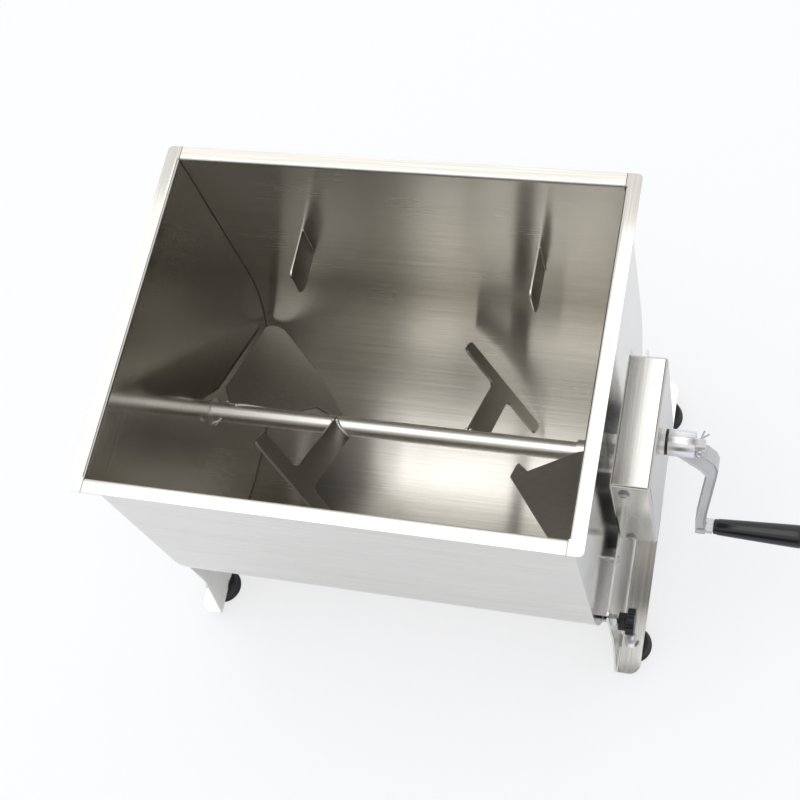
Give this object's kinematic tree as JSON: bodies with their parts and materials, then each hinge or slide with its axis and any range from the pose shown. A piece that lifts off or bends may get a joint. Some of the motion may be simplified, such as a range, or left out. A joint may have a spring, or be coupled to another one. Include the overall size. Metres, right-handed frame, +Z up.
{
  "type": "meat mixer",
  "caption": "Hand-cranked meat mixer: a tilting stainless steel tank with turning paddles between folded side stands, with a geared crank and a star-knob tilt lock.",
  "frame": {"origin": "on the table, below the middle of the whole object's box, which reaches from the left feet to the end of the crank's grip", "axes": "+X along the mixing shaft towards the crank, -Y the front, +Z up"},
  "size_m": [0.6632, 0.36, 0.445],
  "materials": {
    "tank_steel": "fine brushed stainless sheet",
    "stand_steel": "brushed stainless sheet, folded",
    "shaft_steel": "turned and cut stainless, satin",
    "bearing_steel": "turned steel",
    "zinc_fasteners": "bright zinc plate",
    "bush_brass": "turned brass",
    "gear_iron": "machined and oiled",
    "crank_casting": "sand cast, tumbled",
    "grip_plastic": "moulded, satin",
    "knob_plastic": "moulded, satin",
    "foot_rubber": "moulded, matt",
    "seal_rubber": "moulded, matt"
  },
  "bodies": {
    "stand": {"stand_left": "stand_steel", "stand_right": "stand_steel", "cross_tie": "stand_steel", "tie_bolts": "zinc_fasteners", "tie_nuts": "zinc_fasteners", "bearing_left": "bearing_steel", "bearing_right": "bearing_steel", "bearing_screws": "zinc_fasteners", "seal_left": "seal_rubber", "seal_right": "seal_rubber", "gear_cover": "stand_steel", "cover_screws": "zinc_fasteners", "cover_bush": "bearing_steel", "pinion_bush": "bush_brass", "foot_front_left": "foot_rubber", "foot_front_right": "foot_rubber", "foot_rear_left": "foot_rubber", "foot_rear_right": "foot_rubber", "foot_bolts": "zinc_fasteners", "foot_nuts": "zinc_fasteners", "lock_nut": "zinc_fasteners", "tilt_stop_pin": "zinc_fasteners"},
    "tank": {"trough": "tank_steel", "end_plate_left": "tank_steel", "end_plate_right": "tank_steel", "baffle_left": "tank_steel", "baffle_right": "tank_steel", "trunnion_left": "tank_steel", "trunnion_right": "tank_steel", "tilt_stop_tab": "tank_steel"},
    "mixing_shaft": {"mixing_tube": "shaft_steel", "stub_axle": "shaft_steel", "stub_split_pin": "zinc_fasteners", "drive_shaft": "shaft_steel", "drive_collar": "shaft_steel", "collar_pins": "zinc_fasteners", "t_paddle_left": "shaft_steel", "t_paddle_right": "shaft_steel", "end_paddle_left": "shaft_steel", "end_paddle_right": "shaft_steel", "main_gear": "gear_iron", "gear_key": "zinc_fasteners", "gear_nut": "zinc_fasteners"},
    "crank": {"crank_shaft": "shaft_steel", "pinion": "gear_iron", "pinion_grub_screw": "zinc_fasteners", "crank_washer": "zinc_fasteners", "crank_arm": "crank_casting", "crank_split_pin": "zinc_fasteners", "handle_bolt": "zinc_fasteners", "handle_nut": "zinc_fasteners"},
    "grip": {"handle_grip": "grip_plastic"},
    "lock_screw": {"lock_stud": "zinc_fasteners"},
    "lock_knob": {"star_knob": "knob_plastic"}
  },
  "joints": [
    {"name": "tank_tilt", "type": "hinge", "parent": "stand", "child": "tank", "pos_m": [-0.07265, 0, 0.21], "axis": [1, 0, 0], "range_deg": [0, 90]},
    {"name": "shaft_spin", "type": "hinge", "parent": "stand", "child": "mixing_shaft", "pos_m": [-0.07265, 0, 0.21], "axis": [1, 0, 0], "continuous": true},
    {"name": "crank_spin", "type": "hinge", "parent": "stand", "child": "crank", "pos_m": [0.18735, 0, 0.2625], "axis": [1, 0, 0], "continuous": true},
    {"name": "grip_spin", "type": "hinge", "parent": "crank", "child": "grip", "pos_m": [0.28535, -0.02296, 0.09911], "axis": [1, 0, 0], "continuous": true},
    {"name": "lock_travel", "type": "slide", "parent": "stand", "child": "lock_screw", "axis": [1, 0, 0], "range_m": [0, 0.00501]},
    {"name": "lock_turn", "type": "hinge", "parent": "lock_screw", "child": "lock_knob", "pos_m": [0.16735, -0.146, 0.135], "axis": [1, 0, 0], "range_deg": [0, 1440]}
  ],
  "couplings": [
    {"joint": "crank_spin", "follows": "shaft_spin", "ratio": -2},
    {"joint": "lock_travel", "follows": "lock_turn", "m_per_rad": 0.00019894}
  ]
}
